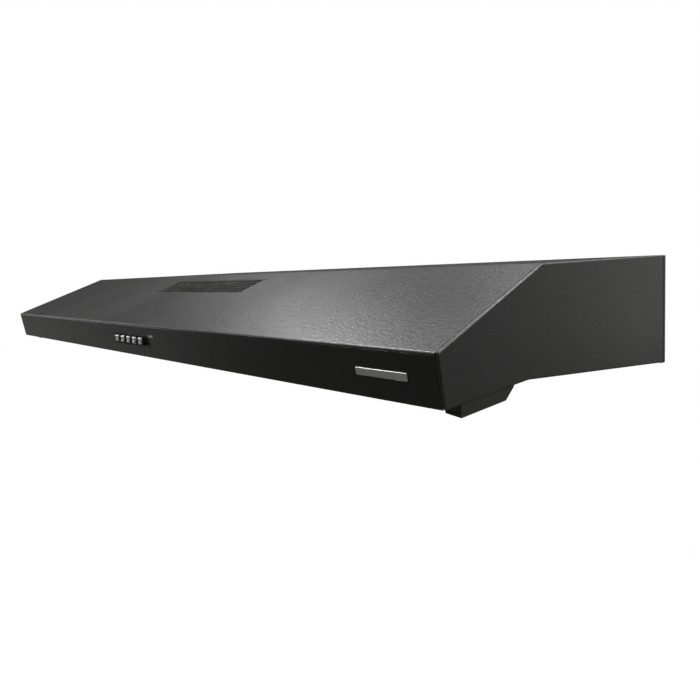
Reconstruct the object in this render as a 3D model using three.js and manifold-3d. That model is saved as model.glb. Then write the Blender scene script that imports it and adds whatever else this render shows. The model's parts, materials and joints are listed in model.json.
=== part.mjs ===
// Under-cabinet range hood, 900 mm wide, built as separate named pieces.
// Millimetres, +Z up. The front faces -Y, the wall is on +Y, and +X is the viewer's right.
// The origin is the middle of the flat top face, which sits against the cabinet's underside.
import * as THREE from 'three';
import { mergeVertices } from 'three/addons/utils/BufferGeometryUtils.js';
import Module from 'manifold-3d';

const wasm = await Module();
wasm.setup();

// ---------------------------------------------------------------- driving dimensions

const WIDTH = 900;
const DEPTH = 480;
const BACK_HEIGHT = 133;
const TOP_DEPTH = 330; // flat top, from the wall to the bend above the slope
const SLOPE_DROP = 53; // from the top face down to the crease over the fascia
const FASCIA_DROP = 39.5;
const FASCIA_SET_BACK = 6.5; // how far the fascia's lower edge lies behind its upper edge
const KNEE_FROM_FRONT = 124.5; // where the side's lower edge starts to fall towards the wall

const STEEL = 1.2; // sheet steel
const FASCIA_WALL = 1.6;
const MOULDING = 1.8; // wall of the plastic air ducting
const GAP = 0.3; // between pieces that touch

const HALF = WIDTH / 2;
const WALL_Y = TOP_DEPTH / 2;
const FRONT_Y = WALL_Y - DEPTH;
const LIP_Z = -SLOPE_DROP - FASCIA_DROP;
const KEYHOLE = { radius: 6, slot: 6.4, x: 300, low: -46, high: -30 }; // for wall screws
const INNER_HALF = HALF - STEEL - GAP; // half length of what fits between the side panels

// corners of the side profile, as [y, z]
const BEND = [-WALL_Y, 0];
const CREASE = [FRONT_Y, -SLOPE_DROP];
const LIP = [FRONT_Y + FASCIA_SET_BACK, LIP_Z];
const KNEE = [FRONT_Y + KNEE_FROM_FRONT, LIP_Z];
const HEEL = [WALL_Y, -BACK_HEIGHT];

// light channel under the front
const CHANNEL = {
  front: -288, rearLow: -227, rear: -214, bottom: -98.4, slantTop: -93.4, rearTop: -76, lip: -208,
};
const FOOT = { bottom: -102, top: -80, flange: 13 };
const LENS = { centre: 290, length: 160, front: -284, rear: -236, thick: 2.4 };
const LAMP = { y: -256, z: -82, bulbRadius: 12, capRadius: 7 };

// control panel, measured down the fascia (s) from the crease
const BEZEL = { x0: -50.6, x1: 45, s0: 13.4, s1: 26.6, depth: 6, wall: 1.4 };
const BUTTON = { first: -43.5, pitch: 16, width: 10, s0: 16, s1: 24, proud: 1.5, back: -8.5 };
const BUTTON_NAMES = ['off', 'speed_low', 'speed_mid', 'speed_high', 'light'];
const INDICATOR = { x: 49, s: 13.5, half: 6, radius: 1.3 };
const BADGE = { x: 398.5, s: 19.5, length: 48, height: 6, thick: 0.9 };

// recirculation vent, measured up the slope (t) from the crease
const VENT = { half: 110, t0: 95, t1: 140, slots: 24, pitch: 9, slot: 4 };

// grease filters
const FILTER = { count: 3, width: 295, pitch: 298, front: -207, rear: 158, thick: 9, lift: 1, rim: 14 };

// duct outlet
const OUTLET = { y: 77, radius: 60, tube: 59.5, flange: 70, flapZ: -24, flapRadius: 57.5, hingeOffset: 2.2 };
const PLENUM = { half: 78, front: 5, rear: 150, bottom: -80 };

// blowers
const BLOWER = { x: 190, y: 40, top: -30, bottom: -78, start: 79, growth: 25, inlet: 56 };
const TONGUE = THREE.MathUtils.degToRad(130);
const SPIRAL_END = THREE.MathUtils.degToRad(450);
const IMPELLER = { outer: 72, inner: 58, top: -36.5, bottom: -75, blades: 24, shaft: 4 };
const MOTOR = { radius: 42, top: -3.2, bottom: -29.4 };

// mains connection, behind the right-hand blower
const TERMINAL = { x0: 330, x1: 400, y0: 96, y1: 146, top: -3, bottom: -40 };
const GLAND = { x: 365, z: -22 };

// ---------------------------------------------------------------- geometry helpers

// a closed solid from a geometry, ready to be joined or cut
function solid(geometry) {
  const bare = geometry.clone();
  bare.deleteAttribute('normal');
  bare.deleteAttribute('uv');
  const merged = mergeVertices(bare, 1e-4);
  return new wasm.Manifold(new wasm.Mesh({
    numProp: 3,
    vertProperties: new Float32Array(merged.attributes.position.array),
    triVerts: new Uint32Array(merged.index.array),
  }));
}

// the geometry of a solid
function geometryOf(body) {
  const mesh = body.getMesh();
  const geometry = new THREE.BufferGeometry();
  geometry.setAttribute('position', new THREE.BufferAttribute(new Float32Array(mesh.vertProperties), 3));
  geometry.setIndex(new THREE.BufferAttribute(new Uint32Array(mesh.triVerts), 1));
  return geometry;
}

function join(...geometries) {
  return geometryOf(geometries.map(solid).reduce((whole, next) => whole.add(next)));
}

function cut(geometry, ...tools) {
  return geometryOf(tools.map(solid).reduce((whole, tool) => whole.subtract(tool), solid(geometry)));
}

function box(x0, x1, y0, y1, z0, z1) {
  const geometry = new THREE.BoxGeometry(x1 - x0, y1 - y0, z1 - z0);
  return geometry.translate((x0 + x1) / 2, (y0 + y1) / 2, (z0 + z1) / 2);
}

function extrude(points, depth) {
  const shape = new THREE.Shape(points.map(([a, b]) => new THREE.Vector2(a, b)));
  return new THREE.ExtrudeGeometry(shape, { depth, bevelEnabled: false });
}

// a prism along X from an outline in [y, z]
function prismX(points, x0, x1) {
  const turn = new THREE.Matrix4().makeBasis(
    new THREE.Vector3(0, 1, 0), new THREE.Vector3(0, 0, 1), new THREE.Vector3(1, 0, 0));
  return extrude(points, x1 - x0).applyMatrix4(turn).translate(x0, 0, 0);
}

// a prism along Z from an outline in [x, y]
function prismZ(points, z0, z1) {
  return extrude(points, z1 - z0).translate(0, 0, z0);
}

function cylinderZ(radius, z0, z1, x, y, sides = 24) {
  const geometry = new THREE.CylinderGeometry(radius, radius, z1 - z0, sides);
  return geometry.rotateX(Math.PI / 2).translate(x, y, (z0 + z1) / 2);
}

function cylinderX(radius, x0, x1, y, z, sides = 24) {
  const geometry = new THREE.CylinderGeometry(radius, radius, x1 - x0, sides);
  return geometry.rotateZ(Math.PI / 2).translate((x0 + x1) / 2, y, z);
}

function cylinderY(radius, y0, y1, x, z, sides = 24) {
  return new THREE.CylinderGeometry(radius, radius, y1 - y0, sides).translate(x, (y0 + y1) / 2, z);
}

// the section of a bent sheet: path is one face, side +1 puts the metal on its left, -1 on its right
function sheetSection(path, thick, side) {
  const directions = path.slice(1).map((p, i) => {
    const dy = p[0] - path[i][0];
    const dz = p[1] - path[i][1];
    const length = Math.hypot(dy, dz);
    return [dy / length, dz / length];
  });
  const other = path.map(([y, z], i) => {
    const before = directions[Math.max(i - 1, 0)];
    const after = directions[Math.min(i, directions.length - 1)];
    const reach = thick / (1 + before[0] * after[0] + before[1] * after[1]);
    return [y - side * (before[1] + after[1]) * reach, z + side * (before[0] + after[0]) * reach];
  });
  return [...path, ...other.reverse()];
}

function sheet(path, thick, side, half = INNER_HALF) {
  return prismX(sheetSection(path, thick, side), -half, half);
}

function circle(x, y, radius, sides) {
  return Array.from({ length: sides }, (_, i) => {
    const angle = (2 * Math.PI * i) / sides;
    return [x + radius * Math.cos(angle), y + radius * Math.sin(angle)];
  });
}

// ---------------------------------------------------------------- scene helpers

const hood = new THREE.Group();

function add(name, geometry, [color, roughness, metalness], parent = hood) {
  const mesh = new THREE.Mesh(geometry, new THREE.MeshStandardMaterial({ color, roughness, metalness }));
  mesh.name = name;
  parent.add(mesh);
  return mesh;
}

const PAINT = [0x2b2c2b, 0.5, 0.3];
const FASCIA_BLACK = [0x1a1b1a, 0.25, 0.2];
const DARK_PLASTIC = [0x151515, 0.5, 0];
const WHITE_PLASTIC = [0xd8d8d2, 0.55, 0];
const GREY_PLASTIC = [0x5a5c5e, 0.6, 0];
const CHROME = [0xd5d6d6, 0.15, 1];
const ALUMINIUM = [0xb9bbbd, 0.4, 0.9];
const ZINC = [0xa6a8aa, 0.45, 0.9];
const FROSTED = [0xe9ece8, 0.3, 0];

// a group whose x is the hood's x, whose y runs up a panel from the crease, and whose z faces out
function panelFrame(lowCorner, highCorner) {
  const up = new THREE.Vector3(0, highCorner[0] - lowCorner[0], highCorner[1] - lowCorner[1]).normalize();
  const across = new THREE.Vector3(1, 0, 0);
  const out = new THREE.Vector3().crossVectors(across, up);
  const group = new THREE.Group();
  group.quaternion.setFromRotationMatrix(new THREE.Matrix4().makeBasis(across, up, out));
  group.position.set(0, CREASE[0], CREASE[1]);
  hood.add(group);
  return group;
}

const slopeFrame = panelFrame(CREASE, BEND);
const fasciaFrame = panelFrame(LIP, CREASE);

// a geometry drawn in a panel's frame, moved into the hood's frame
function inHood(geometry, frame) {
  frame.updateMatrix();
  return geometry.clone().applyMatrix4(frame.matrix);
}

// ---------------------------------------------------------------- casing

function topShell() {
  const bent = sheet([[WALL_Y, 0], BEND, CREASE], STEEL, 1);
  const outlet = cylinderZ(OUTLET.radius, -10, 10, 0, OUTLET.y, 36);
  const vent = inHood(box(-VENT.half, VENT.half, VENT.t0, VENT.t1, -8, 8), slopeFrame);
  return cut(bent, outlet, vent);
}

function sidePanel(side) {
  const outline = [CREASE, LIP, KNEE, HEEL, [WALL_Y, 0], BEND];
  const outer = side * HALF;
  const inner = side * (HALF - STEEL);
  const plate = prismX(outline, Math.min(outer, inner), Math.max(outer, inner));
  const flangeEdge = side * (HALF - 14);
  const flangeTop = -STEEL - GAP;
  const flange = box(Math.min(inner, flangeEdge) - 0.1, Math.max(inner, flangeEdge) + 0.1,
    -150, 145, flangeTop - STEEL, flangeTop);
  return join(plate, flange);
}

function rearPanel() {
  const top = -STEEL - GAP;
  const bent = sheet([[150, top], [WALL_Y, top], HEEL], STEEL, -1);
  const { radius, slot, x, low, high } = KEYHOLE;
  const tools = [cylinderY(7.4, 155, 175, GLAND.x, GLAND.z, 16)];
  for (const side of [-1, 1]) {
    tools.push(cylinderY(radius, 155, 175, side * x, low, 16));
    tools.push(box(side * x - slot / 2, side * x + slot / 2, 155, 175, low, high));
  }
  return cut(bent, ...tools);
}

// the strip along the foot of the rear panel that the filters rest on
function filterRail() {
  const front = HEEL[0] - 22;
  const rear = HEEL[0] - STEEL - GAP;
  return box(-INNER_HALF, INNER_HALF, front, rear, -BACK_HEIGHT, -BACK_HEIGHT + STEEL);
}

function fascia() {
  const slope = [BEND[0] - CREASE[0], BEND[1] - CREASE[1]];
  const slopeLength = Math.hypot(...slope);
  const fall = [LIP[0] - CREASE[0], LIP[1] - CREASE[1]];
  const fallLength = Math.hypot(...fall);
  const drop = STEEL + GAP + 0.02;
  const corner = [CREASE[0] + (drop * fall[0]) / fallLength, CREASE[1] + (drop * fall[1]) / fallLength];
  const tail = [corner[0] + (14 * slope[0]) / slopeLength, corner[1] + (14 * slope[1]) / slopeLength];
  const bent = sheet([tail, corner, LIP, [-293, LIP_Z]], FASCIA_WALL, 1, INNER_HALF - 0.7);
  const clear = GAP;
  const window = box(BEZEL.x0 - clear, BEZEL.x1 + clear, -BEZEL.s1 - clear, -BEZEL.s0 + clear, -5, 5);
  return cut(bent, inHood(window, fasciaFrame), inHood(indicatorPill(clear, -5, 5), fasciaFrame));
}

add('top_shell', topShell(), PAINT);
add('side_panel_left', sidePanel(-1), PAINT);
add('side_panel_right', sidePanel(1), PAINT);
add('rear_panel', rearPanel(), ZINC);
add('filter_rail', filterRail(), ZINC);
add('fascia', fascia(), FASCIA_BLACK);

// ---------------------------------------------------------------- recirculation vent

function slotBoxes(shift, t0, t1, z0, z1) {
  const first = -((VENT.slots - 1) * VENT.pitch) / 2 + shift;
  return Array.from({ length: VENT.slots }, (_, i) => {
    const x = first + i * VENT.pitch;
    return box(x - VENT.slot / 2, x + VENT.slot / 2, t0, t1, z0, z1);
  });
}

function ventGrille() {
  const plate = box(-VENT.half + GAP, VENT.half - GAP, VENT.t0 + GAP, VENT.t1 - GAP, -2, 0);
  const flange = box(-VENT.half - 4, VENT.half + 4, VENT.t0 - 4, VENT.t1 + 4, -2.4, -STEEL - GAP);
  return cut(join(plate, flange), ...slotBoxes(0, VENT.t0 + 4, VENT.t1 - 4, -4, 2));
}

// closed at rest: its slots sit half a pitch away from the grille's; the tab hangs beside the duct
function ventShutter() {
  const plate = box(-VENT.half - 2, VENT.half + 2, VENT.t0 - 1, VENT.t1 + 1, -4, -2.8);
  const arm = box(VENT.half, VENT.half + 32, VENT.t0 + 10, VENT.t1 - 10, -4, -2.8);
  const tab = box(VENT.half + 24, VENT.half + 32, VENT.t0 + 12, VENT.t1 - 12, -22, -3);
  return cut(join(plate, arm, tab), ...slotBoxes(-VENT.pitch / 2, VENT.t0 + 4, VENT.t1 - 4, -5, -2));
}

// an angle that carries one long edge of the shutter
function shutterRail(edge, outward) {
  const wall = [edge + outward * 0.4, edge + outward * 3.4].sort((a, b) => a - b);
  const lip = [edge - outward * 2, edge + outward * 3.4].sort((a, b) => a - b);
  return join(
    box(-VENT.half - 8, VENT.half + 8, ...wall, -5.6, -2.7),
    box(-VENT.half - 8, VENT.half + 8, ...lip, -5.6, -4.4));
}

add('vent_grille', ventGrille(), PAINT, slopeFrame);
add('vent_shutter', ventShutter(), DARK_PLASTIC, slopeFrame);
add('shutter_rail_lower', shutterRail(VENT.t0 - 1, -1), ZINC, slopeFrame);
add('shutter_rail_upper', shutterRail(VENT.t1 + 1, 1), ZINC, slopeFrame);

// ---------------------------------------------------------------- controls

function buttonX(index) {
  return BUTTON.first + index * BUTTON.pitch;
}

// the indicator is a short round-ended window beside the keys
function indicatorPill(clearance, n0, n1) {
  const { x, s, half, radius } = INDICATOR;
  const reach = radius + clearance;
  const straight = half - radius;
  return join(
    box(x - straight, x + straight, -s - reach, -s + reach, n0, n1),
    cylinderZ(reach, n0, n1, x - straight, -s, 12),
    cylinderZ(reach, n0, n1, x + straight, -s, 12));
}

function controlBezel() {
  const { x0, x1, s0, s1, depth, wall } = BEZEL;
  const tray = box(x0, x1, -s1, -s0, -depth, 0);
  const flange = box(x0 - 4, x1 + 4, -s1 - 3.5, -s0 + 3.5, -depth + 2.6, -FASCIA_WALL - GAP);
  const recess = box(x0 + wall, x1 - wall, -s1 + wall, -s0 - wall, -depth + wall, 5);
  const holes = BUTTON_NAMES.map((_, i) => {
    const x = buttonX(i);
    const half = BUTTON.width / 2 + 0.4;
    return box(x - half, x + half, -BUTTON.s1 - 0.4, -BUTTON.s0 + 0.4, -10, 5);
  });
  return cut(join(tray, flange), recess, ...holes, indicatorPill(GAP, -10, 5));
}

// a key with a crowned face and a retaining flange behind the bezel
function button(index) {
  const x = buttonX(index);
  const { s0, s1, proud, back, width } = BUTTON;
  const face = [
    [-s1, back + 1.6], [-s1, proud - 1.4], [-s1 + 1.6, proud - 0.3], [-(s0 + s1) / 2, proud],
    [-s0 - 1.6, proud - 0.3], [-s0, proud - 1.4], [-s0, back + 1.6],
  ];
  const key = prismX(face, x - width / 2, x + width / 2);
  const flange = box(x - width / 2 - 1.4, x + width / 2 + 1.4, -s1 - 1.4, -s0 + 1.4, back, back + 1.8);
  return join(key, flange);
}

function switchBlock() {
  const { x0, x1 } = BEZEL;
  const body = box(x0 + 1, x1 - 1, -33, -10, -22, -12.2);
  const ears = box(x0 - 3, x1 + 3, -25, -17, -15, -13);
  return join(body, ears);
}

add('control_bezel', controlBezel(), DARK_PLASTIC, fasciaFrame);
BUTTON_NAMES.forEach((name, i) => add(`button_${name}`, button(i), CHROME, fasciaFrame));
add('switch_block', switchBlock(), WHITE_PLASTIC, fasciaFrame);
add('indicator_lens', indicatorPill(0, -8, 0.4), FROSTED, fasciaFrame);
add('badge_plate', box(BADGE.x - BADGE.length / 2, BADGE.x + BADGE.length / 2,
  -BADGE.s - BADGE.height / 2, -BADGE.s + BADGE.height / 2, 0.1, 0.1 + BADGE.thick), CHROME, fasciaFrame);

// ---------------------------------------------------------------- light channel

function lensSpan(side) {
  const ends = [side * (LENS.centre - LENS.length / 2), side * (LENS.centre + LENS.length / 2)];
  return ends.sort((a, b) => a - b);
}

function lightChannel() {
  const { front, rearLow, rear, bottom, slantTop, rearTop, lip } = CHANNEL;
  const flangeZ = LIP_Z + FASCIA_WALL + GAP;
  const path = [[-303, flangeZ], [front, flangeZ], [front, bottom], [rearLow, bottom], [rear, slantTop],
    [rear, rearTop], [lip, rearTop]];
  const half = INNER_HALF - STEEL - GAP;
  const tray = sheet(path, STEEL, 1, half);
  const endOutline = [[front, flangeZ], [front, bottom], [rearLow, bottom], [rear, slantTop],
    [rear, flangeZ]];
  const ends = [-1, 1].map((side) => {
    const xs = [side * half, side * (half - STEEL)].sort((a, b) => a - b);
    return prismX(endOutline, ...xs);
  });
  const windows = [-1, 1].map((side) => {
    const [x0, x1] = lensSpan(side);
    return box(x0, x1, LENS.front, LENS.rear, bottom - 5, bottom + 5);
  });
  return cut(join(tray, ...ends), ...windows);
}

// a folded bracket at each end that carries the channel and drops below the side panel
function foot(side) {
  const { front, rearLow, rear, slantTop } = CHANNEL;
  const outline = [[front, FOOT.top], [front, FOOT.bottom], [rearLow, FOOT.bottom], [rear, slantTop],
    [rear, FOOT.top]];
  const outer = side * INNER_HALF;
  const inner = side * (INNER_HALF - STEEL);
  const wall = prismX(outline, Math.min(outer, inner), Math.max(outer, inner));
  const edge = side * (INNER_HALF - FOOT.flange);
  const flange = box(Math.min(edge, inner) - 0.1, Math.max(edge, inner) + 0.1, front, rearLow,
    FOOT.bottom, FOOT.bottom + STEEL);
  const end = box(Math.min(edge, inner) - 0.1, Math.max(edge, inner) + 0.1, front, front + STEEL,
    FOOT.bottom, CHANNEL.bottom - GAP);
  return join(wall, flange, end);
}

function lampLens(side) {
  const [x0, x1] = lensSpan(side);
  const low = CHANNEL.bottom;
  const plate = box(x0 + 0.5, x1 - 0.5, LENS.front + 0.5, LENS.rear - 0.5, low, low + LENS.thick);
  const hollow = box(x0 + 4, x1 - 4, LENS.front + 4, LENS.rear - 4, low + 1.4, low + 9);
  return cut(plate, hollow);
}

// a lamp lies along X, its cap outboard in the holder
function lamp(side) {
  const { bulbRadius, capRadius } = LAMP;
  const profile = [[0, 0], [capRadius, 0], [capRadius, 16], [bulbRadius, 24], [bulbRadius, 62],
    [bulbRadius * 0.75, 70], [bulbRadius * 0.35, 74], [0, 75]];
  const turned = new THREE.LatheGeometry(profile.map(([r, h]) => new THREE.Vector2(r, h)), 16);
  return turned.rotateZ((side * Math.PI) / 2).translate(side * 390, LAMP.y, LAMP.z);
}

function lampHolder(side) {
  const [x0, x1] = [side * 376, side * 400].sort((a, b) => a - b);
  const barrel = cylinderX(13, x0, x1, LAMP.y, LAMP.z, 20);
  const foot = box(x0 + 4, x1 - 4, LAMP.y - 9, LAMP.y + 9, CHANNEL.bottom + STEEL + GAP, LAMP.z - 8);
  const [b0, b1] = [side * 370, side * 392].sort((a, b) => a - b);
  return cut(join(barrel, foot), cylinderX(LAMP.capRadius + 0.6, b0, b1, LAMP.y, LAMP.z, 20));
}

add('light_channel', lightChannel(), PAINT);
for (const [side, word] of [[-1, 'left'], [1, 'right']]) {
  add(`channel_foot_${word}`, foot(side), PAINT);
  add(`lamp_lens_${word}`, lampLens(side), FROSTED);
  add(`lamp_holder_${word}`, lampHolder(side), WHITE_PLASTIC);
  add(`lamp_${word}`, lamp(side), FROSTED);
}

// ---------------------------------------------------------------- grease filters

const FILTER_ANGLE = Math.atan2(HEEL[1] - KNEE[1], HEEL[0] - KNEE[0]);

// x across, y from front to rear along the cassette's lower face, z up through it
const filterFrame = new THREE.Group();
filterFrame.position.set(0, KNEE[0], KNEE[1] + FILTER.lift / Math.cos(FILTER_ANGLE));
filterFrame.rotation.x = FILTER_ANGLE;
hood.add(filterFrame);

const FILTER_Y0 = (FILTER.front - KNEE[0]) / Math.cos(FILTER_ANGLE);
const FILTER_Y1 = (FILTER.rear - KNEE[0]) / Math.cos(FILTER_ANGLE);
const LATCH = { half: 22, length: 34, travel: 5 };

function filterRim(x) {
  const half = FILTER.width / 2;
  const { rim, thick } = FILTER;
  const meshStart = FILTER_Y0 + LATCH.length;
  const outer = box(x - half, x + half, FILTER_Y0, FILTER_Y1, 0, thick);
  const opening = box(x - half + rim, x + half - rim, meshStart + rim, FILTER_Y1 - rim, -5, 15);
  const groove = box(x - half + 2, x + half - 2, meshStart + 2, FILTER_Y1 - 2, 1.2, thick - 1.2);
  const pocket = box(x - LATCH.half - 1, x + LATCH.half + 1, FILTER_Y0 - 1, meshStart, 1.5, 15);
  const grip = box(x - LATCH.half + 4, x + LATCH.half - 4, FILTER_Y0 + 8, meshStart - 6, -5, 3);
  return cut(outer, opening, groove, pocket, grip);
}

function filterMesh(x) {
  const half = FILTER.width / 2 - 2.5;
  return box(x - half, x + half, FILTER_Y0 + LATCH.length + 2.5, FILTER_Y1 - 2.5, 3.5, 5.5);
}

// a sprung tongue that the finger pulls back through the grip opening
function filterLatch(x) {
  const tongue = box(x - LATCH.half + 5, x + LATCH.half - 5, FILTER_Y0 - 2.5, FILTER_Y0 + 20, 5, 7.4);
  const slider = box(x - LATCH.half, x + LATCH.half, FILTER_Y0 + 4, FILTER_Y0 + 26, 3.4, 7.4);
  const pull = box(x - 14, x + 14, FILTER_Y0 + 9, FILTER_Y0 + 12, 0.4, 4);
  return join(tongue, slider, pull);
}

['left', 'centre', 'right'].forEach((word, i) => {
  const x = (i - 1) * FILTER.pitch;
  add(`filter_frame_${word}`, filterRim(x), ALUMINIUM, filterFrame);
  add(`filter_mesh_${word}`, filterMesh(x), ALUMINIUM, filterFrame);
  add(`filter_latch_${word}`, filterLatch(x), DARK_PLASTIC, filterFrame);
});

// ---------------------------------------------------------------- duct outlet

function outletRing() {
  const { y, tube, flange, flapZ } = OUTLET;
  const wall = cylinderZ(tube + 2, -38, -2.5, 0, y, 36);
  const rim = cylinderZ(flange, -3.4, -STEEL - GAP, 0, y, 36);
  const bore = cylinderZ(tube, -50, 5, 0, y, 36);
  const tubeBody = cut(join(wall, rim), bore);
  const ledgeDisc = cylinderZ(tube + 1, flapZ - 3, flapZ - 1, 0, y, 36);
  const ledge = cut(ledgeDisc, cylinderZ(tube - 4, -50, 5, 0, y, 36));
  const bar = box(-tube - 0.5, tube + 0.5, y - 1, y + 1, flapZ - 4, flapZ + 1);
  return join(tubeBody, ledge, bar);
}

// a half disc that lifts in the air stream, hinged beside the cross bar
function damperFlap(side) {
  const { y, flapRadius, flapZ } = OUTLET;
  const disc = cylinderZ(flapRadius, flapZ - 0.6, flapZ + 0.6, 0, y, 36);
  const edge = y + side * OUTLET.hingeOffset;
  const keepOut = side < 0 ? box(-70, 70, edge, y + 80, -40, 0) : box(-70, 70, y - 80, edge, -40, 0);
  return cut(disc, keepOut);
}

function outletPlenum() {
  const { half, front, rear, bottom } = PLENUM;
  const w = MOULDING;
  const outer = box(-half, half, front, rear, bottom, -STEEL - GAP);
  const hollow = box(-half + w, half - w, front + w, rear - w, bottom + w, 5);
  const throatRear = BLOWER.y + BLOWER.start + BLOWER.growth;
  const throatFront = BLOWER.y + BLOWER.start * Math.sin(TONGUE);
  const sides = box(-half - 5, half + 5, throatFront, throatRear, BLOWER.bottom + 1, BLOWER.top - w);
  const mouth = box(-68, 68, front - 5, front + 5, -40, -8);
  return cut(outer, hollow, sides, mouth);
}

// carries the air from the plenum forward and up to the vent in the slope: a neck, then a wide mouth
function recircDuct() {
  const under = 6.2; // below the slope's outer face
  const tilt = Math.atan2(BEND[1] - CREASE[1], BEND[0] - CREASE[0]);
  const [top, floor, front, waist, rear] = [-3.2, -46, -239, -70, PLENUM.front - GAP];
  const shoulder = BEND[0] + (top + under / Math.cos(tilt)) / Math.tan(tilt);
  const frontTop = (front - BEND[0]) * Math.tan(tilt) - under / Math.cos(tilt);
  const half = VENT.half + 10;
  const neck = 76;
  const w = MOULDING;
  const wide = prismX([[waist, top], [shoulder, top], [front, frontTop], [front, floor], [waist, floor]],
    -half, half);
  const narrow = box(-neck, neck, waist - 1, rear, floor, top);
  const hollow = box(-half + w, half - w, front + w, waist - w, floor + w, top - w);
  const neckHollow = box(-neck + w, neck - w, waist - 5, rear - w, floor + w, top - w);
  const skylight = box(-half + w, half - w, front + w, shoulder, floor + w, 20);
  const mouth = box(-68, 68, rear - 5, rear + 5, -40, -8);
  return cut(join(wide, narrow), hollow, neckHollow, skylight, mouth);
}

add('outlet_ring', outletRing(), DARK_PLASTIC);
add('damper_flap_front', damperFlap(-1), GREY_PLASTIC);
add('damper_flap_rear', damperFlap(1), GREY_PLASTIC);
add('outlet_plenum', outletPlenum(), GREY_PLASTIC);
add('recirc_duct', recircDuct(), GREY_PLASTIC);

// ---------------------------------------------------------------- blowers

// scroll outline about the impeller, grown outwards by extra, its throat towards x = 0
function scrollOutline(side, extra, throatX) {
  const steps = 24;
  const spiral = Array.from({ length: steps + 1 }, (_, i) => {
    const turn = TONGUE + ((SPIRAL_END - TONGUE) * i) / steps;
    const radius = BLOWER.start + extra + (BLOWER.growth * i) / steps;
    return [BLOWER.x + radius * Math.cos(turn), BLOWER.y + radius * Math.sin(turn)];
  });
  const rear = spiral[steps][1];
  const front = BLOWER.y + BLOWER.start * Math.sin(TONGUE) - extra;
  const outline = [...spiral, [throatX, rear], [throatX, front]];
  outline[0] = [outline[0][0], front];
  if (side > 0) return outline;
  return outline.map(([x, y]) => [-x, y]).reverse();
}

function blowerHousing(side) {
  const { x, y, top, bottom } = BLOWER;
  const throat = PLENUM.half + GAP;
  const outer = prismZ(scrollOutline(side, MOULDING, throat), bottom, top);
  const hollow = prismZ(scrollOutline(side, 0, throat - 9), bottom - 5, top - MOULDING);
  const posts = [[-62, -55], [62, -55], [-62, 55], [62, 55]].map(([dx, dy]) =>
    cylinderZ(5, top - 1, -STEEL - GAP, side * (x + dx), y + dy, 10));
  const shaftHole = cylinderZ(12, top - 5, top + 5, side * x, y, 20);
  return cut(join(cut(outer, hollow), ...posts), shaftHole);
}

function blowerCover(side) {
  const { x, y, bottom, inlet } = BLOWER;
  const high = bottom - GAP;
  const plate = prismZ(scrollOutline(side, MOULDING, PLENUM.half + GAP), high - 1.8, high);
  const collar = cylinderZ(inlet + 1.6, high - 1.8, high + 4, side * x, y, 32);
  const bore = cylinderZ(inlet, high - 10, high + 10, side * x, y, 32);
  const guard = [
    box(side * x - inlet - 1, side * x + inlet + 1, y - 1.5, y + 1.5, high - 1.8, high - 0.3),
    box(side * x - 1.5, side * x + 1.5, y - inlet - 1, y + inlet + 1, high - 1.8, high - 0.3),
  ];
  return join(cut(join(plate, collar), bore), ...guard);
}

function motor(side) {
  const { radius, top, bottom } = MOTOR;
  const body = cylinderZ(radius, bottom, top, side * BLOWER.x, BLOWER.y, 28);
  return cut(body, cylinderZ(IMPELLER.shaft + 0.6, bottom - 5, bottom + 10, side * BLOWER.x, BLOWER.y, 12));
}

function impeller(side) {
  const { outer, inner, top, bottom, blades, shaft } = IMPELLER;
  const [x, y] = [side * BLOWER.x, BLOWER.y];
  const disc = cylinderZ(outer, top - 1.8, top, x, y, 36);
  const hub = cylinderZ(11, top - 14, top - 1, x, y, 16);
  const axle = cylinderZ(shaft, top - 12, MOTOR.bottom + 8, x, y, 12);
  const rim = cut(cylinderZ(outer, bottom, bottom + 2, x, y, 36), cylinderZ(outer - 6, -90, 0, x, y, 36));
  const middle = (outer + inner) / 2;
  const fins = Array.from({ length: blades }, (_, i) => {
    const fin = box(-0.7, 0.7, -(outer - inner) / 2, (outer - inner) / 2, bottom + 1, top - 1);
    const turn = (2 * Math.PI * i) / blades;
    return fin.rotateZ(side * 0.5).translate(0, middle, 0).rotateZ(turn).translate(x, y, 0);
  });
  return join(disc, hub, axle, rim, ...fins);
}

function capacitor(side) {
  const [x0, x1] = [side * 98, side * 142].sort((a, b) => a - b);
  return cylinderX(11.5, x0, x1, 122, -16.5, 20);
}

for (const [side, word] of [[-1, 'left'], [1, 'right']]) {
  add(`blower_housing_${word}`, blowerHousing(side), GREY_PLASTIC);
  add(`blower_cover_${word}`, blowerCover(side), GREY_PLASTIC);
  add(`motor_${word}`, motor(side), ZINC);
  add(`impeller_${word}`, impeller(side), WHITE_PLASTIC);
  add(`capacitor_${word}`, capacitor(side), WHITE_PLASTIC);
}

// ---------------------------------------------------------------- mains connection and wiring

function terminalBox() {
  const { x0, x1, y0, y1, top, bottom } = TERMINAL;
  const shell = box(x0, x1, y0, y1, bottom, top);
  const room = box(x0 + 2, x1 - 2, y0 + 2, y1 - 2, bottom - 5, top - 2);
  const entry = cylinderY(5.5, y1 - 5, y1 + 5, GLAND.x, GLAND.z, 16);
  return cut(shell, room, entry);
}

function terminalLid() {
  const { x0, x1, y0, y1, bottom } = TERMINAL;
  return box(x0, x1, y0, y1, bottom - 2.2, bottom - GAP);
}

function cableGland() {
  const { x, z } = GLAND;
  const nut = cylinderY(10, TERMINAL.y1 + GAP, 155, x, z, 6);
  const neck = cylinderY(7, 152, WALL_Y - 0.1, x, z, 16);
  return cut(join(neck, nut), cylinderY(4, 140, 175, x, z, 12));
}

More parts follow.
